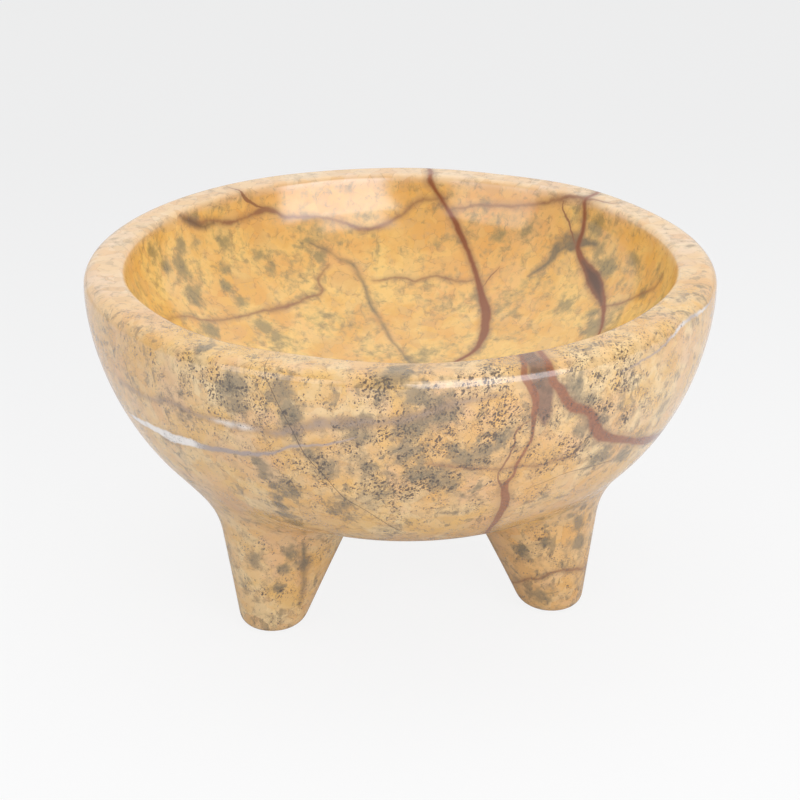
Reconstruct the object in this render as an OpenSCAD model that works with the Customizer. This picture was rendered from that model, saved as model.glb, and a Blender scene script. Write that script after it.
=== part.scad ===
// Three-legged stone molcajete (mortar bowl), in millimetres.
// +Z is up, the origin is on the bowl's axis at floor level, and one leg points to the back (+Y).
// The bowl and its legs are cut from one block, so each leg's head meets the bowl's underside face to face.

/* [Bowl] */
// Outer diameter at the widest place, just under the rim
rim_d = 160; // [120:1:220]
// Height of the rim above the floor
rim_h = 90; // [78:1:120]
// Height of the bowl's flat underside above the floor
base_h = 34.5; // [26:1:42]
// Diameter of the flat part of the underside
base_d = 92; // [84:1:100]
// Thickness of the wall at the rim
wall_t = 10.5; // [7:0.5:14]
// Thickness of the stone at the middle of the cavity's floor
floor_t = 12; // [9:0.5:16]

/* [Curves] */
// Squareness of the outside curve, where 2 is an ellipse
side_power = 1.8; // [1.6:0.05:2.4]
// Squareness of the cavity's curve, where 2 is an ellipse
cavity_power = 1.8; // [1.6:0.1:3]
// Height of the straight band under the rim's rounding
band_h = 1; // [0.5:0.5:3]
// Radius of the rim's outer edge
lip_outer_r = 3.5; // [2:0.5:5]
// Radius of the rim's inner edge
lip_inner_r = 1.6; // [0.8:0.2:2]

/* [Legs] */
// Distance from the bowl's axis to the middle of a foot
foot_reach = 42.5; // [38:0.5:50]
// Distance from the bowl's axis to the middle of a leg, at the bowl's underside
root_reach = 36; // [34:0.5:42]
// Diameter of a leg at the floor, before its end is rounded
foot_d = 16; // [13:0.5:22]
// Diameter of a leg at the bowl's underside
root_d = 37; // [28:0.5:40]
// Radius of the rounded end of a leg
foot_round = 4.5; // [2:0.5:6]
// How far down the leg the blend into the bowl starts
blend_drop = 10; // [6:0.5:14]
// How far the blend spreads out over the underside
blend_spread = 8; // [4:0.5:10]

/* [Hidden] */

rim_r = rim_d / 2;
base_r = base_d / 2;
foot_r = foot_d / 2;
root_r = root_d / 2;
cavity_r = rim_r - wall_t;
cavity_floor_h = base_h + floor_t;
shoulder_h = rim_h - lip_outer_r - band_h; // top of the outside curve
cavity_brim_h = rim_h - lip_inner_r; // top of the cavity's curve
stone_colour = [0.87, 0.70, 0.42];

curve_step = 3; // degrees between the points of a curve
lip_step = 15; // degrees between the points of the rim's roundings
bite = 1; // how far a leg's head reaches into the stone before the bowl is cut away
turns = 48; // points around a leg
end_steps = 4; // rings on a leg's rounded end
blend_steps = 6; // rings on the blend
leg_colour_shade = 0.94;

// A point of a quarter superellipse, from [0, 1] at 0 degrees to [1, 0] at 90 degrees.
function quarter(angle, power) = [pow(sin(angle), 2 / power), pow(cos(angle), 2 / power)];

// Height of the bowl's outside at a distance r from the axis.
function underside_h(r) =
    let (share = min(max(r - base_r, 0) / (rim_r - base_r), 1))
    shoulder_h - (shoulder_h - base_h) * pow(1 - pow(share, side_power), 1 / side_power);

function outside_points() = [
    for (a = [0:curve_step:90])
        let (q = quarter(a, side_power))
        [base_r + (rim_r - base_r) * q[0], shoulder_h - (shoulder_h - base_h) * q[1]]
];

function outer_lip_points() = [
    for (a = [0:lip_step:90])
        [rim_r - lip_outer_r * (1 - cos(a)), rim_h - lip_outer_r * (1 - sin(a))]
];

function inner_lip_points() = [
    for (a = [90:lip_step:180])
        [cavity_r + lip_inner_r * (1 + cos(a)), cavity_brim_h + lip_inner_r * sin(a)]
];

function cavity_points() = [
    for (a = [90 - curve_step:-curve_step:0])
        let (q = quarter(a, cavity_power))
        [cavity_r * q[0], cavity_brim_h - (cavity_brim_h - cavity_floor_h) * q[1]]
];

// Distance from the bowl's axis to a leg's own axis, and a leg's radius, at height z.
function reach(z) = foot_reach + (root_reach - foot_reach) * z / base_h;
function leg_r(z) = foot_r + (root_r - foot_r) * z / base_h;

// A point of a leg's side at height z, in the direction a, for a leg that points along +X.
function side_point(a, z, r) = [reach(z) + r * cos(a), r * sin(a), z];
function side_at(a, z) = side_point(a, z, leg_r(z));

// Height where a leg's side meets the bowl, found in a few passes.
function meeting_h(a, z, passes = 6) =
    let (p = side_at(a, z))
    passes == 0 ? z : meeting_h(a, underside_h(norm([p[0], p[1]])), passes - 1);

// The blend's curve in the direction a, from the leg's side at t = 0 to the bowl at t = 1.
function blend_point(a, t) =
    let (
        corner_h = meeting_h(a, base_h),
        corner = side_at(a, corner_h),
        low = side_at(a, corner_h - blend_drop),
        out = corner + blend_spread * [cos(a), sin(a), 0],
        far = [out[0], out[1], underside_h(norm([out[0], out[1]])) + bite]
    )
    pow(1 - t, 2) * low + 2 * t * (1 - t) * corner + t * t * far;

function end_ring(k) =
    let (
        angle = 90 * k / end_steps,
        z = foot_round * (1 - cos(angle)),
        r = leg_r(foot_round) - foot_round * (1 - sin(angle))
    )
    [for (i = [0:turns - 1]) side_point(360 * i / turns, z, r)];

function blend_ring(k) = [for (i = [0:turns - 1]) blend_point(360 * i / turns, k / blend_steps)];

// A closed skin over rings of the same number of points, with a fan at each end.
module skin(rings) {
    count = len(rings);
    last = (count - 1) * turns;
    foot = [reach(0), 0, 0];
    head = [root_reach, 0, base_h + floor_t / 3];
    points = concat([for (ring = rings) each ring], [foot, head]);
    sides = [
        for (j = [0:count - 2], i = [0:turns - 1])
            let (n = (i + 1) % turns, low = j * turns, high = low + turns)
            each [[low + i, high + i, high + n], [low + i, high + n, low + n]]
    ];
    foot_fan = [for (i = [0:turns - 1]) [i, (i + 1) % turns, count * turns]];
    head_fan = [for (i = [0:turns - 1]) [last + (i + 1) % turns, last + i, count * turns + 1]];
    polyhedron(points, concat(sides, foot_fan, head_fan), convexity = 4);
}

// The bowl as a full turn of stone, without its cavity.
module bowl_blank() {
    rotate_extrude($fn = 180)
        polygon(concat([[0, base_h]], outside_points(), outer_lip_points(), [[0, rim_h]]));
}

module leg(direction) {
    color(stone_colour * leg_colour_shade)
        difference() {
            rotate([0, 0, direction])
                skin(concat(
                    [for (k = [0:end_steps]) end_ring(k)],
                    [for (k = [0:blend_steps]) blend_ring(k)]
                ));
            bowl_blank();
        }
}

module bowl() {
    color(stone_colour)
        rotate_extrude($fn = 180)
            polygon(concat(
                [[0, base_h]],
                outside_points(),
                outer_lip_points(),
                inner_lip_points(),
                cavity_points()
            ));
}

module leg_front_left() { leg(210); }
module leg_front_right() { leg(330); }
module leg_back() { leg(90); }

bowl();
leg_front_left();
leg_front_right();
leg_back();
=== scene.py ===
import math

import bpy
import numpy as np
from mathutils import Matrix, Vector


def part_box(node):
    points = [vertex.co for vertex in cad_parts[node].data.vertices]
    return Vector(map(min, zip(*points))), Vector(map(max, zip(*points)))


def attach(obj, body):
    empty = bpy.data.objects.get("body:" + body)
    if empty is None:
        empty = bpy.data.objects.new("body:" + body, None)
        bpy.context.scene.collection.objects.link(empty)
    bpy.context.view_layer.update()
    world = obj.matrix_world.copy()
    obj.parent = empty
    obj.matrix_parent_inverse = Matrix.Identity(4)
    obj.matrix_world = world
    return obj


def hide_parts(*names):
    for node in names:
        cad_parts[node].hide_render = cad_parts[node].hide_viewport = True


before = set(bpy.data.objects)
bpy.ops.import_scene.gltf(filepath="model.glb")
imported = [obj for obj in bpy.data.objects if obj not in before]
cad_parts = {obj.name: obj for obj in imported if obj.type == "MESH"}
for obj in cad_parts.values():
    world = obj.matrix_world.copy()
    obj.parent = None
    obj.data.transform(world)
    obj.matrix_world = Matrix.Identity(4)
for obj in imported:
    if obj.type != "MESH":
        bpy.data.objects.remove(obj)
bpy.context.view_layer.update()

# The looks of a three-legged molcajete, cut and polished from one block of golden marble.
#
# Lengths are millimetres until a mesh is written, because Blender takes metres.
# A bearing is an angle in degrees about the bowl's axis: 0 faces the front (-Y) and 90 the right (+X).
# A place along the bowl's skin is a distance from the middle of its underside, out and up its
# outside, over the rim and down to the middle of its cavity.

MM = 0.001

# ---------------------------------------------------------------- sizes, as the CAD has them

bowl_low, bowl_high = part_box("bowl")
RIM_R = (bowl_high.x - bowl_low.x) / 2 / MM
RIM_H = bowl_high.z / MM
BASE_H = bowl_low.z / MM
BASE_R = 46
WALL = 10.5
FLOOR = 12
SIDE_POWER = 1.8
CAVITY_POWER = 1.8
BAND_H = 1
LIP_OUTER_R = 3.5
LIP_INNER_R = 1.6

FOOT_REACH = 42.5
ROOT_REACH = 36
FOOT_R = 8
ROOT_R = 18.5
FOOT_ROUND = 4.5
BLEND = 9  # reach of the soft hollow between a leg and the bowl
LEGS = {"leg_front_left": -60, "leg_front_right": 60, "leg_back": 180}  # the bearing of each

SHOULDER_H = RIM_H - LIP_OUTER_R - BAND_H
CAVITY_R = RIM_R - WALL
BRIM_H = RIM_H - LIP_INNER_R
CAVITY_H = BASE_H + FLOOR
TAPER = math.atan((ROOT_R - FOOT_R) / BASE_H)

# What hand polishing changed, which the CAD leaves out.
BRIM_LEAN = math.radians(12)  # the top of the cavity's wall leans back by this much
RIM_CROWN = 0.25  # the rim's band is domed by this much
CROWN_MARGIN = 1  # how far the dome runs on over the band's rounded edges

# ---------------------------------------------------------------- the bowl's skin

FLAT_STEPS = 24
CURVE_STEPS = 400
LIP_STEPS = 60


def ramp(value, start, end):
    """0 at start and 1 at end, on a straight line between."""
    return np.clip((value - start) / (end - start), 0, 1)


def quarter(steps, power):
    """A quarter superellipse from (0, 1) to (1, 0)."""
    turn = np.linspace(0, np.pi / 2, steps)
    return np.sin(turn) ** (2 / power), np.cos(turn) ** (2 / power)


def cavity_skin():
    """Radius and height of the cavity, from the top of its wall to the middle of its floor.

    The wall's top is a straight line, from where the wall leans back by BRIM_LEAN.
    """
    back, down = quarter(CURVE_STEPS, CAVITY_POWER)
    radius, height = CAVITY_R * back[::-1], BRIM_H - (BRIM_H - CAVITY_H) * down[::-1]
    lean = math.tan(BRIM_LEAN)
    eased = np.argmax(np.gradient(radius, height) > lean)
    radius[:eased] = radius[eased] + (height[:eased] - height[eased]) * lean
    return radius, height


def inner_lip(wall_top):
    """Radius and height of the rim's inner rounded edge, which runs smoothly into the leaning wall."""
    turn = np.linspace(0, np.pi / 2 - BRIM_LEAN, LIP_STEPS)
    set_back = 1 - np.sin(turn[-1]) - np.cos(turn[-1]) * math.tan(BRIM_LEAN)
    lip_r = wall_top - LIP_INNER_R * set_back
    return lip_r + LIP_INNER_R * (1 - np.sin(turn)), BRIM_H + LIP_INNER_R * np.cos(turn)


def bowl_profile():
    """Radius and height of the skin, from the middle of the underside to the middle of the cavity."""
    flat = np.linspace(0, BASE_R, FLAT_STEPS)[:-1]
    base = flat, np.full(len(flat), BASE_H)
    out, up = quarter(CURVE_STEPS, SIDE_POWER)
    outside = BASE_R + (RIM_R - BASE_R) * out, SHOULDER_H - (SHOULDER_H - BASE_H) * up
    turn = np.linspace(0, np.pi / 2, LIP_STEPS)
    outer_lip = RIM_R - LIP_OUTER_R * (1 - np.cos(turn)), RIM_H - LIP_OUTER_R * (1 - np.sin(turn))
    wall_r, wall_z = cavity_skin()
    cavity = wall_r[1:], wall_z[1:]
    stretches = (base, outside, outer_lip, inner_lip(wall_r[0]), cavity)
    radius = np.concatenate([stretch[0] for stretch in stretches])
    height = np.concatenate([stretch[1] for stretch in stretches])
    crown_start = CAVITY_R + LIP_INNER_R - CROWN_MARGIN
    crown_end = RIM_R - LIP_OUTER_R + CROWN_MARGIN
    dome = RIM_CROWN * np.sin(np.pi * ramp(radius, crown_start, crown_end)) ** 2
    return radius, height + np.where(height > BRIM_H, dome, 0)


PROFILE_R, PROFILE_Z = bowl_profile()
ALONG = np.concatenate([[0], np.cumsum(np.hypot(np.diff(PROFILE_R), np.diff(PROFILE_Z)))])


def on_bowl(bearing, along):
    """Points on the bowl's skin."""
    turn = np.radians(bearing)
    radius = np.interp(along, ALONG, PROFILE_R)
    height = np.interp(along, ALONG, PROFILE_Z)
    return np.stack([radius * np.sin(turn), -radius * np.cos(turn), height], -1)


def outside_h(radius):
    """Height of the bowl's outside at a distance from its axis."""
    share = ramp(radius, BASE_R, RIM_R)
    return SHOULDER_H - (SHOULDER_H - BASE_H) * (1 - share**SIDE_POWER) ** (1 / SIDE_POWER)


def outside_distance(points):
    """About how far points are from the bowl's outside, less than 0 in the stone."""
    reach, drop = RIM_R - BASE_R, SHOULDER_H - BASE_H
    out = np.maximum(np.hypot(points[..., 0], points[..., 1]) - BASE_R, 0) / reach
    down = np.maximum(SHOULDER_H - points[..., 2], 1e-6) / drop
    level = out**SIDE_POWER + down**SIDE_POWER - 1
    slope_out, slope_down = out ** (SIDE_POWER - 1) / reach, down ** (SIDE_POWER - 1) / drop
    return level / (SIDE_POWER * np.hypot(slope_out, slope_down))


# ---------------------------------------------------------------- the legs' skin, for a leg at bearing 0

LEG_TURNS = 112
PROUD = 0.015  # the leg's skin lies this far over the bowl's, so that only one of them shows
APRON = 1.2  # how far the leg's skin goes on over the bowl, past the hollow
TUCK = 0.8  # how far its edge then turns into the stone
TUCK_INWARD = 0.3  # and how much of that turn is towards the middle of the leg's head
TUCKED_SHARES = (0, 0.35, 0.7)  # hidden rings, as shares of the way from there to the head's middle
HEAD_H = BASE_H + 3  # the hidden middle of the leg's head, inside the bowl
FLAT_SHARES = (0.4, 0.75)  # the rings on the foot's flat, as shares of its radius
EDGE_RINGS, CONE_RINGS, HOLLOW_RINGS = 9, 18, 16
HOLLOW_DROP = BLEND * 1.1  # how far below the corner the soft hollow starts


def leg_reach(height):
    """How far the leg's own axis is from the bowl's."""
    return FOOT_REACH + (ROOT_REACH - FOOT_REACH) * height / BASE_H


def leg_radius(height):
    return FOOT_R + (ROOT_R - FOOT_R) * height / BASE_H


def leg_point(turn, height, radius):
    """A point at a distance from the leg's own axis. A turn of 0 is on its outer side."""
    return np.stack(
        [radius * np.sin(turn), -leg_reach(height) - radius * np.cos(turn), height + 0 * turn], -1
    )


def leg_distance(points):
    """How far points are from the leg's cone, less than 0 in the stone."""
    height = points[..., 2]
    across = np.hypot(points[..., 0], points[..., 1] + leg_reach(height))
    return (across - leg_radius(height)) * math.cos(TAPER)


def skin_distance(points):
    """The bowl and a leg as one skin, with a soft hollow between them."""
    bowl, leg = outside_distance(points), leg_distance(points)
    near = np.maximum(BLEND - np.abs(bowl - leg), 0) / BLEND
    return np.minimum(bowl, leg) - near**2 * BLEND / 4


def settle(points, level):
    """Moves points straight to the skin, or to a level above it."""
    probe = 1e-3
    for _ in range(12):
        here = skin_distance(points) - level
        ahead = [skin_distance(points + probe * axis) - level for axis in np.eye(3)]
        slope = np.stack([(there - here) / probe for there in ahead], -1)
        points = points - slope * (here / np.maximum((slope**2).sum(-1), 1e-9))[..., None]
    return points


def ring_on_bowl(turn, clear):
    """Where the bowl's outside is a distance clear of the leg's side."""
    height = np.full(len(turn), float(BASE_H))
    for _ in range(30):
        ring = leg_point(turn, height, leg_radius(height) + clear / math.cos(TAPER))
        height = outside_h(np.hypot(ring[:, 0], ring[:, 1]))
    return np.stack([ring[:, 0], ring[:, 1], height], -1)


def foot_rings(turn):
    """The foot's flat and its rounded edge."""
    flat_r = leg_radius(FOOT_ROUND * (1 - math.sin(TAPER))) - FOOT_ROUND * math.cos(TAPER)
    rings = [leg_point(turn, 0.0, flat_r * share) for share in FLAT_SHARES]
    for bend in np.linspace(0, np.pi / 2 - TAPER, EDGE_RINGS):
        height = FOOT_ROUND * (1 - math.cos(bend))
        rings.append(leg_point(turn, height, flat_r + FOOT_ROUND * math.sin(bend)))
    return rings


def side_rings(turn, start_h):
    """The leg's side above the foot, the soft hollow, and the apron over the bowl."""
    corner = ring_on_bowl(turn, 0)
    far = ring_on_bowl(turn, BLEND)
    low_h = corner[:, 2] - HOLLOW_DROP
    low = leg_point(turn, low_h, leg_radius(low_h))
    rings = []
    for share in np.linspace(0, 1, CONE_RINGS + 1)[1:]:
        height = start_h + (low_h - start_h) * share
        rings.append(leg_point(turn, height, leg_radius(height)))
    for share in np.linspace(0, 1, HOLLOW_RINGS + 1)[1:]:
        rings.append((1 - share) ** 2 * low + 2 * share * (1 - share) * corner + share**2 * far)
    for clear in (BLEND + APRON / 2, BLEND + APRON):
        rings.append(ring_on_bowl(turn, clear))
    return [settle(ring, PROUD) for ring in rings]


def tucked_rings(edge):
    """Hidden rings, from just inside the edge of the leg's skin towards the middle of its head."""
    middle = np.array([0, -ROOT_REACH, HEAD_H])
    inward = (middle - edge) / np.linalg.norm(middle - edge, axis=1)[:, None]
    tucked = edge + TUCK * (TUCK_INWARD * inward + np.array([0, 0, 1.0]))
    return [tucked + (middle - tucked) * share for share in TUCKED_SHARES]


def leg_rings():
    """Rings of points from the foot's flat to the hidden middle of the leg's head."""
    turn = np.linspace(0, 2 * np.pi, LEG_TURNS, endpoint=False)
    rings = foot_rings(turn)
    rings += side_rings(turn, rings[-1][:, 2])
    return rings + tucked_rings(rings[-1])


# ---------------------------------------------------------------- meshes

# The unevenness of a hand-ground block. Each wave has its size, its radians per millimetre along
# X, Y and Z, where it starts, and the way in which it moves the skin.
WAVES = (
    (0.20, (0.0992, 0.0496, -0.0640), 0.8, (1, 0, 0)),
    (0.17, (-0.0720, 0.1120, 0.0352), 2.1, (0, 1, 0)),
    (0.16, (0.0800, -0.0608, 0.0880), 4.0, (0.6, 0.8, 0)),
    (0.22, (0.0576, 0.0432, 0.0160), 5.2, (0, 0, 1)),
    (0.12, (-0.1024, 0.0832, 0.0240), 1.4, (0, 0, 1)),
)
LEVEL_BELOW, UNEVEN_ABOVE = 6, 36  # heights: the feet stay level


def hand_worked(points):
    """Moves points by the block's unevenness."""
    moved = points.copy()
    for size, run, start, way in WAVES:
        shift = size * np.sin(points @ np.array(run) + start)[:, None] * np.array(way, float)
        shift[:, 2] *= ramp(points[:, 2], LEVEL_BELOW, UNEVEN_ABOVE)
        moved += shift
    return moved


def lathe(name, rings, start, end):
    """A closed mesh over rings of points, with a fan at a start point and one at an end point."""
    count = len(rings[0])
    points = np.concatenate([np.array([start]), *rings, np.array([end])])
    this = 1 + np.arange(count)
    after = np.roll(this, -1)
    faces = np.stack([np.zeros(count, int), after, this], -1).tolist()
    for ring in range(len(rings) - 1):
        low, high = ring * count, (ring + 1) * count
        faces += np.stack([this + low, after + low, after + high, this + high], -1).tolist()
    last = (len(rings) - 1) * count
    faces += np.stack([this + last, after + last, np.full(count, len(points) - 1)], -1).tolist()
    mesh = bpy.data.meshes.new(name)
    mesh.from_pydata(hand_worked(points) * MM, [], faces)
    mesh.validate()
    mesh.shade_smooth()
    piece = bpy.data.objects.new(name, mesh)
    bpy.context.scene.collection.objects.link(piece)
    return piece


BOWL_TURNS = 384
RIM_STRETCH = 18  # from the shoulder over the rim, where the bowl's rings lie close together
MIDDLE_GAP = 0.6  # the last ring is this far from the cavity's middle


def bowl_alongs():
    """Where the bowl's rings lie along its skin."""
    base = ALONG[np.searchsorted(PROFILE_R, BASE_R)]
    lip = ALONG[np.argmax(PROFILE_Z > SHOULDER_H + BAND_H / 2)]
    brim = lip + RIM_STRETCH
    return np.concatenate(
        [
            np.linspace(1, base, 20)[:-1],
            np.linspace(base, lip, 62)[:-1],
            np.linspace(lip, brim, 44)[:-1],
            np.linspace(brim, ALONG[-1] - MIDDLE_GAP, 74),
        ]
    )


def make_bowl():
    bearings = np.linspace(0, 360, BOWL_TURNS, endpoint=False)
    rings = [on_bowl(bearings, np.full(BOWL_TURNS, along)) for along in bowl_alongs()]
    return lathe("bowl_stone", rings, (0, 0, PROFILE_Z[0]), (0, 0, PROFILE_Z[-1]))


def turned(points, bearing):
    """Points turned about the bowl's axis, from bearing 0 to another bearing."""
    turn = math.radians(bearing)
    c, s = math.cos(turn), math.sin(turn)
    return points @ np.array([[c, s, 0], [-s, c, 0], [0, 0, 1]])


def sharpen(piece, first):
    """Keeps the shading of the leg's skin apart from its tucked edge, given the edge's first point."""
    ring = range(first, first + LEG_TURNS)
    sharp = piece.data.attributes.new("sharp_edge", "BOOLEAN", "EDGE")
    for edge in piece.data.edges:
        a, b = edge.vertices
        sharp.data[edge.index].value = a in ring and b in ring


def make_leg(node, bearing):
    rings = [turned(ring, bearing) for ring in leg_rings()]
    foot = turned(np.array([0, -FOOT_REACH, 0.0]), bearing)
    head = turned(np.array([0, -ROOT_REACH, HEAD_H]), bearing)
    piece = lathe(node + "_stone", rings, foot, head)
    edge_ring = len(rings) - 1 - len(TUCKED_SHARES)
    sharpen(piece, 1 + edge_ring * LEG_TURNS)
    return piece


pieces = {"bowl": make_bowl()}
for leg_node, leg_bearing in LEGS.items():
    pieces[leg_node] = make_leg(leg_node, leg_bearing)

for node, piece in pieces.items():
    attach(piece, "root")
    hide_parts(node)

# ---------------------------------------------------------------- where the stone's figure lies
#
# A vein is a route over the skin: places, each with half the vein's width there. A place is a
# bearing and a distance along the bowl's skin, or a leg, a bearing about its own axis and a height.


def on_leg(node, bearing, height):
    """A point on a leg's side."""
    turn = np.radians(bearing - LEGS[node])
    return turned(leg_point(turn, height, leg_radius(height)), LEGS[node])


def spot(place):
    return on_leg(*place) if isinstance(place[0], str) else on_bowl(*place)


VEINS = {
    "rust": [
        # Up the outside at the back, over the rim and down into the cavity.
        [
            (164, 58, 0), (170, 68, 0.6), (168, 78, 0.9), (174, 87, 0.7), (171, 96, 1.0),
            (169, 104, 0.7), (167, 112, 0.5), (165, 119, 0.6), (164, 127, 0.7), (161, 132, 0.6),
            (158, 137, 0.9), (153, 146, 0.8), (149, 153, 0.9), (145, 159, 1.1), (141, 164, 1.6),
            (139, 168, 1.7), (137, 171, 1.4), (135, 178, 0.8), (140, 185, 0.5), (147, 194, 0),
        ],
        # The same on the right, with a wide stretch below the rim.
        [
            (120, 50, 0), (127, 60, 0.7), (124, 70, 1.0), (131, 80, 0.8), (134, 90, 0.6),
            (131, 98, 0.5), (129, 105, 0.5), (128, 112, 0.4), (126, 119, 0.6), (125, 127, 0.7),
            (124, 133, 0.7), (124, 137, 0.8), (122, 140, 1.1), (119, 142, 1.4), (113, 145, 2.6),
            (109, 147, 2.3), (105, 149, 1.1), (102, 151, 0.7), (95, 156, 0.4), (89, 164, 0),
        ],
        # From the block at the front of the rim, down to the right.
        [
            (18, 124, 0.9), (17, 118, 1.1), (17, 113, 1.1), (19, 109, 1.2), (21, 105, 1.3),
            (25, 102, 1.4), (27, 97, 1.7), (29, 94, 1.6), (33, 91, 1.3), (38, 88, 1.2),
            (45, 84, 1.5), (54, 80, 1.0), (62, 77, 0.6), (72, 74, 0),
        ],
    ],
    "rust_low": [
        # From the block straight down the front.
        [
            (14, 124, 0.6), (13, 119, 0.9), (12, 115, 1.0), (13, 112, 1.1), (14, 109, 1.0),
            (14, 105, 0.9), (14, 102, 0.5), (14, 98, 0.4), (13, 94, 0.45), (12, 90, 0.5),
            (12, 87, 0.5), (11, 85, 0.8), (11, 82, 1.1), (12, 77, 1.2), (12, 72, 1.2),
            (12, 67, 1.1), (12, 62, 0.8), (13, 55, 0.5), (14, 44, 0),
        ],
    ],
    "strand": [
        # Thin ones beside the larger veins, and one over the rim at the back left.
        [
            (14, 104, 0), (11, 101, 0.25), (11, 97, 0.2), (10, 92, 0.28), (9, 88, 0.25),
            (10, 84, 0.4), (11, 81, 0),
        ],
        [
            (131, 126, 0), (131, 129, 0.3), (128, 133, 0.35), (126, 136, 0.3), (123, 140, 0),
        ],
        [
            (143, 148, 0), (145, 152, 0.25), (147, 158, 0),
        ],
        [
            (204, 131, 0), (209, 127, 0.6), (210, 124, 0.3), (211, 118, 0),
        ],
    ],
    "block": [
        # Across the rim's front edge.
        [
            (15.5, 126, 2.2), (15, 120, 3.0), (15, 114, 3.2), (15.3, 109, 2.7), (15.8, 105, 2.0),
            (16, 101, 0),
        ],
    ],
    "brown": [
        # From the rust vein at the back to the left, under the rim.
        [
            (162, 131, 0.4), (167, 132, 0.5), (171, 136, 0.5), (174, 138, 0.7), (180, 140, 0.6),
            (186, 137, 0.4), (192, 135, 0.4), (199, 134, 0.5), (202, 132, 0.7), (205, 131, 0.9),
            (211, 132, 0.4), (215, 132, 0.6), (220, 130, 0.5), (225, 129, 1.0), (228, 126, 0),
        ],
        # And from it to the right.
        [
            (160, 134, 0), (152, 132, 0.35), (144, 131, 0.4), (137, 129, 0.5), (133, 127, 0.8),
            (129, 125, 0.7), (124, 124, 0.5), (118, 122, 0),
        ],
        # Lower down, across the cavity.
        [
            (181, 156, 0), (171, 155, 0.25), (167, 156, 0.25), (161, 154, 0.2), (155, 155, 0.3),
            (149, 154, 0),
        ],
        # On the cavity's left wall.
        [
            (-97, 143, 0), (-113, 149, 0.2), (-120, 154, 0.25), (-131, 158, 0.3), (-140, 159, 0.4),
            (-147, 160, 0.8), (-154, 160, 0.35), (-159, 159, 0.3), (-164, 158, 0.35),
            (-165, 153, 0.3), (-170, 149, 0),
        ],
        # On the cavity's right wall.
        [
            (105, 150, 0), (99, 146, 0.35), (96, 143, 0.35), (92, 139, 0.7), (89, 136, 0.4),
            (88, 131, 0),
        ],
        # A fine one across the front.
        [
            (-6, 94, 0), (1, 92, 0.15), (4, 91, 0.15), (9, 90, 0.15), (13, 90, 0.2), (17, 89, 0.2),
            (20, 90, 0.2), (23, 90, 0.2), (25, 94, 0),
        ],
        # Round the outside at the back left, made up.
        [
            (-104, 119, 0), (-108, 110, 0.3), (-115, 101, 0.4), (-126, 94, 0.3), (-138, 90, 0.5),
            (-150, 86, 0.4), (-164, 84, 0.5), (-179, 80, 0.3), (-190, 82, 0),
        ],
        # Round the front right leg.
        [
            ("leg_front_right", -75, 7, 0.1), ("leg_front_right", -36, 11, 0.25),
            ("leg_front_right", -17, 12, 0.2), ("leg_front_right", -1, 14, 0.3),
            ("leg_front_right", 23, 14, 0.35), ("leg_front_right", 55, 12, 0.3),
            ("leg_front_right", 90, 11, 0),
        ],
    ],
    "grey": [
        # Down the cavity's far wall.
        [
            (-165, 142, 0), (-169, 145, 0.4), (-172, 148, 0.3), (-175, 150, 0.7), (-177, 155, 0.5),
            (-178, 159, 0.3), (181, 165, 0.5), (178, 171, 0.4), (176, 176, 0.3), (171, 182, 0.3),
            (165, 187, 0.4), (158, 189, 0),
        ],
        # Beside the rust vein on the right.
        [
            (121, 136, 0.8), (126, 137, 3.0), (129, 139, 2.0), (130, 144, 1.1), (132, 147, 0.8),
            (134, 150, 0),
        ],
        # Down the front left leg.
        [
            ("leg_front_left", 6, 30, 0), ("leg_front_left", 12, 25, 0.7),
            ("leg_front_left", 18, 19, 0.8), ("leg_front_left", 24, 13, 0.4),
            ("leg_front_left", 28, 8, 0),
        ],
    ],
    "patch": [
        # On the rust vein's wide stretch, and at the left end of the brown vein.
        [
            (119, 142, 0.3), (115, 144, 1.6), (111, 146, 1.6), (108, 148, 0.7), (105, 150, 0),
        ],
        [
            (218, 131, 0), (222, 131, 0.6), (225, 129, 1.1), (228, 127, 0.8), (229, 125, 0),
        ],
    ],
    "crack": [
        # Down the front from the rim, and a short one on the right.
        [
            (-33, 124, 0), (-31, 114, 0.13), (-29, 108, 0.13), (-27, 102, 0.13), (-25, 95, 0.16),
            (-22, 89, 0.13), (-19, 82, 0.13), (-15, 77, 0.11), (-10, 69, 0.11), (-4, 60, 0),
        ],
        [
            (13, 80, 0), (18, 82, 0.1), (24, 84, 0.1), (33, 83, 0.12), (42, 82, 0),
        ],
    ],
    "band": [
        # Along the left side, and under the rim on the right.
        [
            (-73, 87, 0), (-67, 88, 0.8), (-60, 89, 1.3), (-55, 89, 1.8), (-50, 90, 1.6),
            (-46, 90, 1.0), (-41, 91, 0.9), (-36, 92, 0.7), (-31, 94, 0.45), (-27, 97, 0.4),
            (-20, 99, 0.3), (-15, 102, 0),
        ],
        [
            (66, 114, 0), (60, 114, 0.35), (51, 115, 0.45), (46, 114, 0.4), (41, 112, 0.3),
            (35, 111, 0.2), (30, 110, 0),
        ],
    ],
    "band_high": [
        # Above the band on the left.
        [
            (-71, 99, 0), (-65, 99, 0.2), (-59, 99, 0.25), (-52, 101, 0.3), (-46, 100, 0.35),
            (-42, 100, 0.6), (-38, 100, 0.9), (-34, 100, 0.6), (-30, 100, 0.8), (-26, 102, 1.1),
            (-22, 104, 1.2), (-18, 105, 1.2), (-13, 105, 1.1), (-9, 106, 0.9), (-4, 108, 0.7),
            (1, 110, 0.6), (8, 111, 0),
        ],
    ],
}

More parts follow.
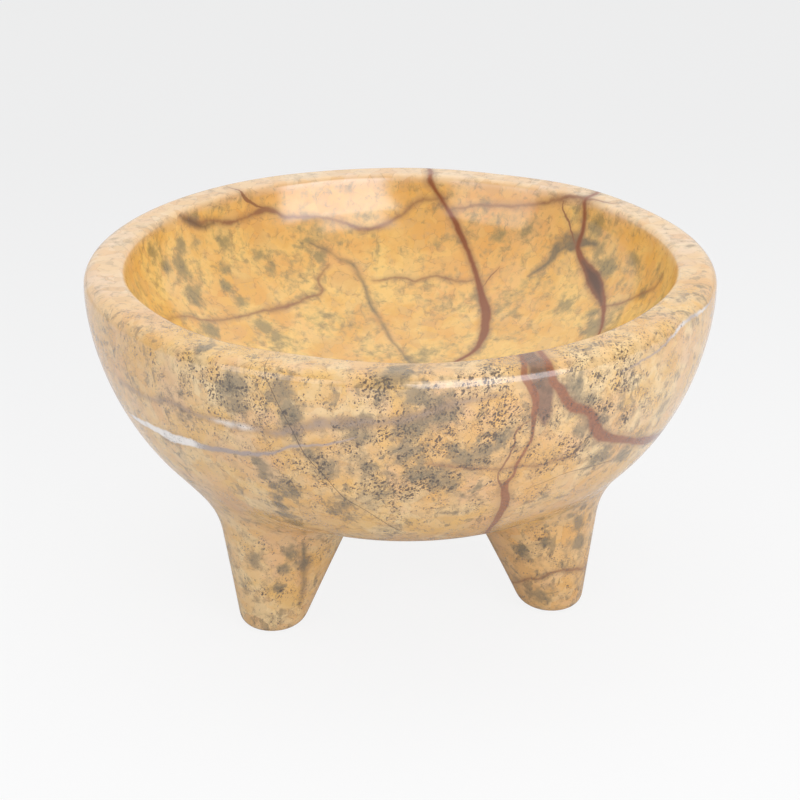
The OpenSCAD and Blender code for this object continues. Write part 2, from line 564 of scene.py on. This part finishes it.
# Soft spots of each kind: a place, the spot's size and its strength.
SPOTS = {
    "cloud": [
        (-35, 90, 2, 0.8), (-34, 86, 2, 0.9), (-33, 82, 2, 0.9), (-33, 78, 2.5, 1),
        (-33, 74, 2.5, 1), (-33, 69, 2, 1), (-34, 64, 2.5, 0.9), (-30, 83, 4, 0.7),
        (-20, 78, 5, 0.7), (27, 99, 4, 0.8), (32, 86, 4, 0.8), (39, 83, 4, 0.8), (24, 104, 4, 0.7),
        (9, 100, 3, 0.8), (-16, 103, 4, 0.6), (-62, 101, 4, 0.4), (-48, 98, 4, 0.4),
        (66, 118, 4, 0.5), (2, 95, 6, 0.6), (-14, 92, 6, 0.5), (-12, 84, 6, 0.5), (-2, 108, 5, 0.8),
        (-7, 112, 4, 0.7), (-7, 104, 5, 1), (-7, 97, 5, 1), (-6, 91, 4, 0.8), (-1, 88, 5, 0.9),
        (1, 83, 3, 0.5), (-11, 116, 4, 0.8), (-37, 111, 3.5, 0.9), (-37, 106, 3, 0.8),
        (-28, 111, 3.5, 1), (-27, 106, 3.5, 1), (-27, 101, 3, 0.6), (-24, 95, 3.5, 0.7),
        (-22, 91, 3.5, 0.8), (-21, 78, 4, 0.6), (-19, 73, 4, 0.6), (-34, 89, 2.5, 0.8),
        (-31, 81, 3, 0.8), (-32, 76, 2, 0.5), (-34, 69, 2.5, 0.6), (-45, 119, 3.5, 0.8),
        (-9, 118, 4, 1), (21, 110, 3, 0.7), (24, 97, 3, 0.7), (33, 97, 4, 0.5), (43, 87, 3, 0.7),
        (6, 97, 2.5, 0.8), (-117, 130, 2.8, 0.8), (-121, 136, 2.4, 1), (-129, 133, 2, 1.1),
        (-126, 138, 2.4, 1.1), (-142, 137, 2.4, 0.6), (-138, 144, 2.8, 0.7), (-136, 149, 2.4, 1.2),
        (-137, 154, 2.4, 1.1), (-124, 147, 3.2, 1.2), (-118, 157, 3.2, 1), (-137, 164, 2.8, 1),
        (-138, 169, 3.2, 0.7), (-135, 128, 2.4, 1.4), (120, 131, 3.2, 1.1), (112, 140, 3.2, 1.3),
        (117, 136, 2.4, 0.7), (117, 155, 3.2, 0.6), (100, 156, 3.6, 1.1), (106, 152, 2.4, 0.7),
        (105, 135, 2.4, 1.1), (93, 140, 2, 1.2), (146, 140, 2.8, 0.7), (146, 159, 2.4, 0.7),
        (162, 144, 2, 0.6), (131, 163, 2.4, 0.6), (-167, 147, 2, 1), (-151, 143, 2.4, 0.7),
        (-152, 148, 2.4, 0.7), ("leg_front_left", -36, 23, 2, 1), ("leg_front_left", -5, 21, 2, 1),
        ("leg_front_left", -1, 26, 2.5, 1), ("leg_front_left", -7, 15, 2.5, 0.9),
        ("leg_front_left", -54, 14, 2, 0.6), ("leg_front_left", 14, 22, 3, 0.9),
        ("leg_front_right", 31, 28, 2.5, 0.9), ("leg_front_right", 33, 22, 2.5, 1),
        ("leg_front_right", -3, 24, 2, 0.9), ("leg_front_right", -27, 21, 2, 1),
        ("leg_front_right", -20, 6, 4, 0.7),
    ],
    "speckle": [
        (-10, 117, 9, 0.6), (8, 116, 8, 0.8), (28, 110, 9, 1), (30, 103, 8, 0.9),
        (-28, 112, 10, 0.6), (-42, 110, 9, 0.5), (5, 101, 9, 0.8), (14, 96, 8, 0.6),
        (-6, 86, 9, 0.8), (-24, 88, 9, 0.5), (24, 93, 6, 0.8), (36, 99, 8, 0.7), (-52, 108, 9, 0.3),
        (-12, 100, 9, 0.6), (3, 80, 8, 0.5), (22, 82, 8, 0.3),
    ],
    "pale": [
        (-67, 88, 5, 1.5), (-60, 89, 5, 1.5), (-54, 89, 5, 1.4), (-50, 90, 3, 1.2),
        (-40, 99, 3, 1.4), (-36, 100, 2.5, 1), (58, 114, 5, 0.8), (48, 115, 5, 0.8),
    ],
}


def smooth_route(route):
    """Samples of a vein about 1 mm apart, on a curve through its route: X, Y, Z and half the width."""
    knots = np.array([[*spot(point[:-1]), point[-1]] for point in route])
    before, after = 2 * knots[0] - knots[1], 2 * knots[-1] - knots[-2]
    knots = np.concatenate([[before], knots, [after]])
    samples = []
    for a, b, c, d in zip(knots, knots[1:], knots[2:], knots[3:]):
        count = max(2, int(np.linalg.norm(c[:3] - b[:3])))
        t = np.linspace(0, 1, count, endpoint=False)[:, None]
        bend = (2 * a - 5 * b + 4 * c - d) * t**2 + (3 * b - a - 3 * c + d) * t**3
        samples.append(b + ((c - a) * t + bend) / 2)
    samples = np.concatenate([*samples, knots[-2:-1]])
    samples[:, 3] = np.maximum(samples[:, 3], 0)
    return samples


FADE_IN, FADE_OUT = 1.4, 2.8  # a vein's field ends between these distances from its edge


def vein_field(points, normals, routes):
    """Three numbers for each point, about the vein that is nearest to it.

    They are its distance across that vein, half the vein's width there, and a share that is 1 near
    the vein and 0 away from it.
    """
    field = np.zeros((len(points), 3), np.float32)
    nearest = np.full(len(points), np.inf)
    for route in routes:
        samples = smooth_route(route)
        places, widths = samples[:, :3], samples[:, 3]
        runs = np.gradient(places, axis=0)
        runs /= np.linalg.norm(runs, axis=1)[:, None]
        margin = FADE_OUT + widths.max() + 1
        close = (points > places.min(0) - margin) & (points < places.max(0) + margin)
        which = np.flatnonzero(close.all(axis=1))
        if not len(which):
            continue
        gaps = np.linalg.norm(points[which][:, None] - places[None], axis=2)
        best = gaps.argmin(1)
        gap = gaps[np.arange(len(which)), best]
        closer = gap < nearest[which]
        which, best, gap = which[closer], best[closer], gap[closer]
        side = np.cross(normals[which], runs[best])
        across = ((points[which] - places[best]) * side).sum(1)
        fade = 1 - ramp(gap - widths[best], FADE_IN, FADE_OUT)
        field[which] = np.stack([across, widths[best], fade], -1)
        nearest[which] = gap
    return field


def spot_field(points, spots):
    """How strongly the spots of one kind cover each point."""
    total = np.zeros(len(points), np.float32)
    for *place, size, strength in spots:
        gap = np.linalg.norm(points - spot(place), axis=1)
        total = np.maximum(total, strength * np.exp(-((gap / size) ** 2)))
    return total


PLACED_TO, CHANCE_FROM = 62, 87  # bearings: the figure is placed one by one up to the first of them
FAR_WALL_FROM = 112  # and again on the cavity's far wall, from this bearing on
SEEN_BEYOND, HIDDEN_WITHIN = 40, 28  # distances from the axis, on the cavity's floor
SKIN = 4  # what lies this deep behind the bowl's outside and underside belongs to the cavity
MOUTH_EDGE = 2  # how far the cavity's part of the rim reaches past its wall
RIM_CHANGE = 3  # how far up from the shoulder the rim's back turns calm
BRIM_CHANGE = 4  # how far below the rim the cavity's own look is complete


def left_to_chance(points):
    """Three shares for each point.

    The first is how much of the figure there comes from noise, which is all of it on the back, the
    underside and the near wall of the cavity. The second is 1 down in the cavity. The third is 1
    where dark specks are few, in the cavity and on the rim's back. On the rim's back it also marks
    where the stone is painted paler, partly for a painted sheen of reflected light.
    """
    height = points[:, 2]
    bearing = np.degrees(np.abs(np.arctan2(points[:, 0], -points[:, 1])))
    radius = np.hypot(points[:, 0], points[:, 1])
    deep = (outside_distance(points) < -SKIN) & (height > BASE_H + SKIN)
    hollow = deep & (radius < CAVITY_R + MOUTH_EDGE)
    around_back = ramp(bearing, PLACED_TO, CHANCE_FROM)
    # The rim's back, where the figure is calm and the stone is painted paler, partly for a painted
    # sheen.
    calm_sheen_rim = ramp(height, SHOULDER_H, SHOULDER_H + RIM_CHANGE) * around_back
    near_side = ramp(bearing, FAR_WALL_FROM, CHANCE_FROM)
    near_wall = np.clip(near_side + ramp(radius, SEEN_BEYOND, HIDDEN_WITHIN), 0, 1)
    chance = np.where(hollow, near_wall, around_back)
    inside = hollow * ramp(height, RIM_H, RIM_H - BRIM_CHANGE)
    return np.stack([chance * (1 - calm_sheen_rim), inside, np.maximum(inside, calm_sheen_rim)], -1)


def store(mesh, name, values):
    """Keeps three numbers for each point of a mesh, for the material to read."""
    attribute = mesh.attributes.new(name, "FLOAT_VECTOR", "POINT")
    attribute.data.foreach_set("vector", values.astype(np.float32).ravel())


def write_figure(piece):
    """Stores the figure's fields on a piece's points."""
    mesh = piece.data
    points = np.empty(len(mesh.vertices) * 3)
    normals = np.empty(len(mesh.vertices) * 3)
    mesh.vertices.foreach_get("co", points)
    mesh.vertices.foreach_get("normal", normals)
    points, normals = points.reshape(-1, 3) / MM, normals.reshape(-1, 3)
    for family, routes in VEINS.items():
        store(mesh, family, vein_field(points, normals, routes))
    store(mesh, "spots", np.stack([spot_field(points, places) for places in SPOTS.values()], -1))
    store(mesh, "free", left_to_chance(points))


for piece in pieces.values():
    write_figure(piece)

# ---------------------------------------------------------------- nodes
#
# These add nodes to the tree of whichever material or world is being made, which "tree" names.


def colour(red, green, blue):
    """A colour given as it looks on a screen, 0 to 255, in the linear light that nodes take."""
    share = np.array([red, green, blue]) / 255
    linear = np.where(share <= 0.04045, share / 12.92, ((share + 0.055) / 1.055) ** 2.4)
    return (*linear.tolist(), 1.0)


def feed(socket, value):
    """Links a socket to another one, or gives it a number or a colour."""
    if isinstance(value, bpy.types.NodeSocket):
        tree.links.new(value, socket)
    elif value is not None:
        socket.default_value = value


def maths(operation, a, b=None, c=None, clamp=False):
    node = tree.nodes.new("ShaderNodeMath")
    node.operation = operation
    node.use_clamp = clamp
    for socket, value in zip(node.inputs, (a, b, c)):
        feed(socket, value)
    return node.outputs[0]


def changing(share, start, end):
    """A number that goes from start to end as a share goes from 0 to 1."""
    return maths("MULTIPLY_ADD", share, end - start, start)


def step(value, low, high):
    """0 below low and 1 above high, with a smooth change between."""
    node = tree.nodes.new("ShaderNodeMapRange")
    node.interpolation_type = "SMOOTHSTEP"
    for name, given in (("Value", value), ("From Min", low), ("From Max", high)):
        feed(node.inputs[name], given)
    return node.outputs["Result"]


def mixed(share, a, b):
    """Colour a where the share is 0, and b where it is 1."""
    node = tree.nodes.new("ShaderNodeMix")
    node.data_type = "RGBA"
    feed(node.inputs[0], share)
    feed(node.inputs[6], a)
    feed(node.inputs[7], b)
    return node.outputs[2]


def tinted(under, hue, where, strength):
    """Lays a hue over what is under it, by where it lies and how strong it is there."""
    return mixed(maths("MULTIPLY", where, strength), under, hue)


def vector(operation, a, b=None, scale=None):
    node = tree.nodes.new("ShaderNodeVectorMath")
    node.operation = operation
    feed(node.inputs[0], a)
    feed(node.inputs[1], b)
    if scale is not None:
        feed(node.inputs["Scale"], scale)
    return node.outputs[0]


def shifted(place, by):
    return vector("ADD", place, by)


def pushed(place, by, reach):
    """A place pushed about by noise of up to half a reach, in millimetres."""
    return vector("ADD", place, vector("SCALE", by, scale=reach))


def leaning(place, tilt, stretch):
    """A place pulled out by stretch along an upright that leans to the right by tilt degrees."""
    node = tree.nodes.new("ShaderNodeMapping")
    node.vector_type = "TEXTURE"
    feed(node.inputs["Vector"], place)
    node.inputs["Rotation"].default_value = (0, math.radians(tilt), 0)
    node.inputs["Scale"].default_value = (1, 1, stretch)
    return node.outputs[0]


def noise(place, per_mm, detail=2.0, roughness=0.5, output="Fac"):
    node = tree.nodes.new("ShaderNodeTexNoise")
    feed(node.inputs["Vector"], place)
    node.inputs["Scale"].default_value = per_mm
    node.inputs["Detail"].default_value = detail
    node.inputs["Roughness"].default_value = roughness
    return node.outputs[output]


def noise_vector(place, per_mm, detail, roughness=0.5):
    """Three noises at once, each from -0.5 to 0.5."""
    three = noise(place, per_mm, detail, roughness, "Color")
    return vector("SUBTRACT", three, (0.5, 0.5, 0.5))


def cells(place, per_mm, feature="F1", output="Distance"):
    node = tree.nodes.new("ShaderNodeTexVoronoi")
    node.feature = feature
    feed(node.inputs["Vector"], place)
    node.inputs["Scale"].default_value = per_mm
    return node.outputs[output]


def split(value):
    node = tree.nodes.new("ShaderNodeSeparateXYZ")
    feed(node.inputs[0], value)
    return node.outputs[:3]


def stored(name):
    """The three numbers that were stored on the mesh under a name."""
    node = tree.nodes.new("ShaderNodeAttribute")
    node.attribute_name = name
    return split(node.outputs["Vector"])


def from_texture(output):
    return tree.nodes.new("ShaderNodeTexCoord").outputs[output]


def seen_by_camera():
    return tree.nodes.new("ShaderNodeLightPath").outputs["Is Camera Ray"]


# ---------------------------------------------------------------- stone

GOLD = colour(232, 184, 106)
CREAM = colour(240, 206, 150)
# Partly the rim's own paler stone, and partly a painted sheen of reflected light.
RIM_PALE_AND_SHEEN = colour(242, 218, 190)
ORANGE = colour(226, 166, 90)
PEACH = colour(228, 180, 134)
TAN = colour(200, 162, 112)
# The cavity's copies of GOLD and CREAM, deeper in hue: partly the stone's own colour and partly painted
# warm bounce light.
GOLD_WITH_PAINTED_BOUNCE = colour(228, 177, 90)
CREAM_WITH_PAINTED_BOUNCE = colour(240, 200, 116)
OLIVE = colour(152, 134, 88)
TAUPE = colour(144, 124, 92)
SLATE = colour(104, 96, 76)
RUST = colour(158, 94, 56)
RUST_EDGE = colour(128, 76, 50)
RUST_INSIDE = colour(134, 70, 26)
PLUM = colour(130, 92, 72)
STAIN_BROWN = colour(142, 104, 74)
BROWN = colour(142, 94, 62)
DARK = colour(66, 48, 34)
LILAC = colour(172, 154, 144)
STAIN = colour(164, 132, 100)
WHITE = colour(250, 244, 238)

stone = bpy.data.materials.new("golden_marble")
stone.use_nodes = True
tree = stone.node_tree
shader = tree.nodes["Principled BSDF"]

# What the layers of the stone share: places in millimetres, noises of several sizes and the fields.
place = vector("SCALE", from_texture("Object"), scale=1 / MM)
sway = noise_vector(place, 0.16, 3)
swayed = pushed(place, sway, 6.0)
wiggle = noise_vector(place, 0.33, 4, 0.6)
wiggle_x = split(wiggle)[0]
middling = noise(shifted(place, (50, 0, 0)), 0.085, 5, 0.6)
fine = noise(shifted(place, (0, 70, 0)), 0.42, 4, 0.6)
very_fine = noise(shifted(place, (0, 0, 90)), 1.3, 4, 0.65)
cloud_here, speckle_here, pale_here = stored("spots")
free, inside, calm = stored("free")
# The rim's back without the cavity: the stone there is calm, and it is painted paler, partly for a
# painted sheen of reflected light.
calm_sheen_rim = maths("SUBTRACT", calm, inside)

GRAINS_PER_MM = 0.26


def golden_ground():
    """Golden stone in soft drifts, broken into small angular grains of slightly different hues."""
    # In the cavity the ground is a deeper gold, partly the stone's own colour and partly painted warm
    # bounce light.
    creamy = mixed(inside, CREAM, CREAM_WITH_PAINTED_BOUNCE)
    ground = mixed(step(middling, 0.40, 0.60), mixed(inside, GOLD, GOLD_WITH_PAINTED_BOUNCE), creamy)
    broad = noise(place, 0.022, 3)
    ground = tinted(ground, ORANGE, step(broad, 0.42, 0.64), 0.6)
    peachy = step(noise(shifted(swayed, (0, 25, 60)), 0.06, 4, 0.6), 0.5, 0.64)
    ground = tinted(ground, PEACH, peachy, changing(inside, 0.6, 0.2))
    ground = tinted(ground, TAN, step(fine, 0.5, 0.72), 0.4)
    # Painted sheen: the rim's back is tinted paler, partly the stone's own paler rim and partly a
    # painted sheen of reflected light.
    ground = tinted(ground, RIM_PALE_AND_SHEEN, calm_sheen_rim, 0.45)
    grain = split(cells(swayed, GRAINS_PER_MM, output="Color"))
    ground = tinted(ground, ORANGE, step(grain[0], 0.4, 1.0), 0.36)
    ground = tinted(ground, creamy, step(grain[1], 0.5, 1.0), 0.28)
    ground = tinted(ground, TAN, step(grain[2], 0.6, 1.0), 0.25)
    grain_edge = cells(swayed, GRAINS_PER_MM, "DISTANCE_TO_EDGE")
    seams = maths("SUBTRACT", 1, step(grain_edge, 0.0, 0.05))
    seams = maths("MULTIPLY", seams, step(fine, 0.42, 0.60))
    return tinted(ground, BROWN, seams, 0.30)


def clouded(under):
    """Grey-green clouds: a thin wash with ragged edges, and upright flecks that crowd inside it.

    Gives the stone with its clouds, and the share of it that the wash covers.
    """
    by_chance = step(noise(shifted(swayed, (0, 130, 40)), 0.045, 4, 0.6), 0.52, 0.74)
    crowd = maths("MAXIMUM", cloud_here, maths("MULTIPLY", by_chance, free))
    drift = step(noise(shifted(swayed, (90, 0, 15)), 0.09, 3, 0.6), 0.44, 0.66)
    crowd = maths("MAXIMUM", crowd, maths("MULTIPLY", drift, changing(inside, 0.2, 0.34)))
    ragged = maths("MULTIPLY", maths("SUBTRACT", maths("ADD", middling, fine), 1.0), 1.6)
    wash = step(maths("ADD", crowd, ragged), 0.05, 0.85)
    wash_hue = mixed(inside, TAUPE, OLIVE)
    clouds = tinted(under, wash_hue, wash, 0.84)

    upright = leaning(swayed, 8, 2.2)
    blur = changing(inside, 0.07, 0.16)
    marks = noise(upright, 0.30, 4, 0.55)
    needed = maths("MULTIPLY_ADD", inside, -0.02, changing(crowd, 0.615, 0.455))
    flecks = step(maths("SUBTRACT", marks, needed), -0.02, blur)
    small_marks = noise(shifted(upright, (31, 0, 12)), 0.62, 3, 0.6)
    needed = maths("MULTIPLY_ADD", inside, -0.03, changing(crowd, 0.64, 0.52))
    small_flecks = step(maths("SUBTRACT", small_marks, needed), -0.01, blur)
    fleck_hue = mixed(step(very_fine, 0.40, 0.62), wash_hue, SLATE)
    strength = maths("MULTIPLY_ADD", calm_sheen_rim, -0.35, changing(inside, 0.58, 0.46))
    clouds = tinted(clouds, fleck_hue, flecks, strength)
    clouds = tinted(clouds, fleck_hue, small_flecks, strength)
    return clouds, wash


def vein(under, family, hue, wander, soft, strength, stain):
    """Lays a family of veins over what is under them, with a thin stain on both sides.

    Wander times the wiggle is how far the veins leave their routes, and soft is how wide their
    blurred edges are, both in millimetres. Gives the stone with the veins, and the share of it
    that they cover.
    """
    across, width, near = stored(family)
    off_route = maths("ABSOLUTE", maths("MULTIPLY_ADD", wiggle_x, wander, across))
    uneven = maths("MULTIPLY", width, maths("ADD", middling, 0.35))
    depth = maths("SUBTRACT", uneven, off_route)
    present = maths("MULTIPLY", step(width, 0.0, 0.08), near)
    if stain:
        ragged = maths("MULTIPLY_ADD", fine, 1.2, depth)
        stained = maths("MULTIPLY", step(ragged, -1.3, 0.6), present)
        under = tinted(under, STAIN_BROWN, stained, stain)
    share = maths("ADD", maths("DIVIDE", depth, soft), 0.5, clamp=True)
    share = maths("MULTIPLY", maths("MULTIPLY", share, present), strength)
    return mixed(share, under, hue), share


def veined(under):
    """All veins, the lowest first. Gives the veined stone, and the share that the cracks cover."""
    rust = tinted(RUST, RUST_EDGE, step(very_fine, 0.4, 0.62), 0.7)
    rust = mixed(inside, rust, RUST_INSIDE)
    plum = tinted(PLUM, DARK, step(fine, 0.42, 0.6), 0.5)
    high_hue = mixed(pale_here, tinted(STAIN, LILAC, step(fine, 0.4, 0.6), 0.5), WHITE)
    band_hue = mixed(pale_here, LILAC, WHITE)
    broken = step(middling, 0.34, 0.56)
    faint = changing(broken, 0.35, 0.85)
    firm = changing(broken, 0.55, 0.85)
    looks = (  # family, hue, wander, soft, strength, stain
        ("band_high", high_hue, 1.4, 1.4, 0.68, 0.3),
        ("band", band_hue, 1.5, 0.6, 0.95, 0.15),
        ("grey", SLATE, 1.6, 1.1, faint, 0.25),
        ("brown", BROWN, 1.6, 0.8, firm, 0.35),
        ("block", plum, 1.6, 1.2, 0.86, 0.3),
        ("strand", BROWN, 1.6, 0.3, 0.9, 0.2),
        ("rust_low", rust, 0.7, 0.4, 0.88, 0.3),
        ("rust", rust, 0.8, 0.7, 0.94, 0.45),
        ("patch", DARK, 1.2, 1.6, 0.72, 0.3),
        ("crack", DARK, 0.35, 0.15, 0.75, 0),
    )
    for look in looks:
        under, share = vein(under, *look)
    return under, share


def specks(place, per_mm, largest, swarm):
    """Round grains of many sizes, one at most in each cell."""
    size = maths("MULTIPLY", split(cells(place, per_mm, output="Color"))[0], largest)
    depth = maths("SUBTRACT", maths("MULTIPLY", size, swarm), cells(place, per_mm))
    return step(depth, -0.05, 0.04)


def speckled(under, wash):
    """Black mineral in swarms, as dots, short leaning strokes and thin threads.

    Gives the speckled stone, and the share of it that the mineral covers.
    """
    crowd = changing(maths("MAXIMUM", speckle_here, maths("MULTIPLY", free, 0.3)), 0.50, 1.12)
    crowd = maths("MULTIPLY", crowd, changing(calm, 1, 0.2))
    gathered = step(noise(shifted(swayed, (15, 0, 33)), 0.16, 3, 0.6), 0.26, 0.66)
    swarm = maths("MULTIPLY_ADD", wash, 0.12, maths("MULTIPLY", crowd, gathered))

    dot_place = pushed(place, sway, 2.0)
    few_large = specks(dot_place, 0.84, 0.45, swarm)
    many_small = specks(shifted(dot_place, (7, 3, 0)), 1.55, 0.64, swarm)
    strokes = specks(leaning(pushed(place, wiggle, 2.5), 32, 3.2), 1.45, 0.64, swarm)
    thread_noise = noise(shifted(place, (20, 20, 0)), 0.55, 4, 0.7)
    off_thread = maths("ABSOLUTE", maths("SUBTRACT", thread_noise, 0.5))
    threads = maths("SUBTRACT", 1, step(off_thread, 0.0, 0.022))
    threads = maths("MULTIPLY", threads, step(maths("MULTIPLY", swarm, very_fine), 0.14, 0.34))
    threads = maths("MULTIPLY", threads, maths("SUBTRACT", 1, calm))
    dots = maths("MAXIMUM", few_large, many_small)
    mineral = maths("MAXIMUM", dots, maths("MAXIMUM", strokes, threads))
    return tinted(under, DARK, mineral, 0.86), mineral


clouds, wash = clouded(golden_ground())
veins, cracks = veined(clouds)
surface, mineral = speckled(veins, wash)
# Painted light: the base colour is kept lighter in the cavity (0.98 against 0.88 elsewhere), standing
# for the brighter light that falls there.
feed(shader.inputs["Base Color"], vector("SCALE", surface, scale=changing(inside, 0.88, 0.98)))
dull = maths("MAXIMUM", cracks, mineral)
feed(shader.inputs["Roughness"], maths("MULTIPLY_ADD", dull, 0.15, changing(very_fine, 0.11, 0.21)))
shader.inputs["IOR"].default_value = 1.6
shader.inputs["Specular IOR Level"].default_value = 0.9
for piece in pieces.values():
    piece.data.materials.append(stone)

# ---------------------------------------------------------------- floor

FLOOR_HALF = 4.0  # metres
FLOOR_NEAR, FLOOR_FAR = 0.99, 0.86  # how pale the floor looks in front of the bowl and well behind it
FLOOR_FILL = 0.9  # share of the floor's look that is plain pale paper, with no shadow on it

corners = [(-1, -1), (1, -1), (1, 1), (-1, 1)]
floor_mesh = bpy.data.meshes.new("floor")
floor_mesh.from_pydata([(x * FLOOR_HALF, y * FLOOR_HALF, 0) for x, y in corners], [], [(0, 1, 2, 3)])
floor = bpy.data.objects.new("floor", floor_mesh)
bpy.context.scene.collection.objects.link(floor)

paper = bpy.data.materials.new("pale_paper")
paper.use_nodes = True
tree = paper.node_tree
lit = tree.nodes["Principled BSDF"]
lit.inputs["Base Color"].default_value = (0.7, 0.7, 0.7, 1)
lit.inputs["Roughness"].default_value = 0.9
plain = tree.nodes.new("ShaderNodeEmission")
away = step(split(from_texture("Object"))[1], -0.25, 0.45)
feed(plain.inputs["Strength"], changing(away, FLOOR_NEAR, FLOOR_FAR))
paper_mix = tree.nodes.new("ShaderNodeMixShader")
feed(paper_mix.inputs[0], maths("MULTIPLY", seen_by_camera(), FLOOR_FILL))
feed(paper_mix.inputs[1], lit.outputs[0])
feed(paper_mix.inputs[2], plain.outputs[0])
feed(tree.nodes["Material Output"].inputs["Surface"], paper_mix.outputs[0])
floor.data.materials.append(paper)

# ---------------------------------------------------------------- room

BACK_LIGHT = 0.62  # the room is brighter behind the bowl than on the camera's side
TOP_LIGHT = 0.25
ALL_ROUND = 0.22
SEEN_WALL = 0.85  # how bright it is where the camera sees it

world = bpy.data.worlds.new("studio")
bpy.context.scene.world = world
world.use_nodes = True
tree = world.node_tree
toward = split(from_texture("Generated"))
room_light = maths("MULTIPLY_ADD", step(toward[1], -0.6, 0.9), BACK_LIGHT, ALL_ROUND)
room_light = maths("MULTIPLY_ADD", step(toward[2], 0.35, 1.0), TOP_LIGHT, room_light)
room = tree.nodes.new("ShaderNodeMix")
feed(room.inputs[0], seen_by_camera())
feed(room.inputs[2], room_light)
feed(room.inputs[3], SEEN_WALL)
background = tree.nodes["Background"]
background.inputs["Color"].default_value = (1, 1, 1, 1)
feed(background.inputs["Strength"], room.outputs[0])

bpy.context.scene.view_settings.view_transform = "Standard"

# ---------------------------------------------------------------- lamps and camera


def facing(place, target):
    """The rotation of a lamp or camera at a place that looks at a target."""
    return (Vector(target) - Vector(place)).to_track_quat("-Z", "Y").to_euler()


def around(bearing, elevation, distance, target):
    """A place seen from a target, in millimetres."""
    turn, rise = math.radians(bearing), math.radians(elevation)
    return Vector(target) + distance * Vector(
        (math.sin(turn) * math.cos(rise), -math.cos(turn) * math.cos(rise), math.sin(rise))
    )


DAYLIGHT = (0.95, 0.98, 1.05)
LAMP_DISTANCE = 900
LAMPS_AIM = (0, 0, 60)


def softbox(name, bearing, elevation, width, height, radiance, mirrored=True):
    """A lamp whose face is as bright as radiance says, where 1 is plain white.

    A fill lamp isn't mirrored in the polish.
    """
    lamp = bpy.data.lights.new(name, "AREA")
    lamp.shape = "RECTANGLE"
    lamp.color = DAYLIGHT
    lamp.size = width * MM
    lamp.size_y = height * MM
    lamp.energy = radiance * math.pi * lamp.size * lamp.size_y
    light = bpy.data.objects.new(name, lamp)
    place = around(bearing, elevation, LAMP_DISTANCE, LAMPS_AIM)
    light.location = place * MM
    light.rotation_euler = facing(place, LAMPS_AIM)
    light.visible_camera = False
    light.visible_glossy = mirrored
    bpy.context.scene.collection.objects.link(light)


softbox("window", 22, 18, width=860, height=600, radiance=3.3)
softbox("upper_window", 16, 44, width=420, height=300, radiance=2.0)
softbox("left_window", -52, 19, width=640, height=560, radiance=1.4)
softbox("overhead_fill", 180, 80, width=800, height=800, radiance=1.7, mirrored=False)
softbox("back_left_fill", -122, 24, width=600, height=500, radiance=1.1, mirrored=False)
softbox("back_right_fill", 122, 24, width=600, height=500, radiance=1.0, mirrored=False)

CAMERA_AIM = (0, 0, 50.8)
camera_data = bpy.data.cameras.new("camera")
camera_data.lens = 107
camera_data.clip_start = 0.01
camera = bpy.data.objects.new("camera", camera_data)
camera_place = around(bearing=-8.7, elevation=22.9, distance=620, target=CAMERA_AIM)
camera.location = camera_place * MM
camera.rotation_euler = facing(camera_place, CAMERA_AIM)
bpy.context.scene.collection.objects.link(camera)
bpy.context.scene.camera = camera
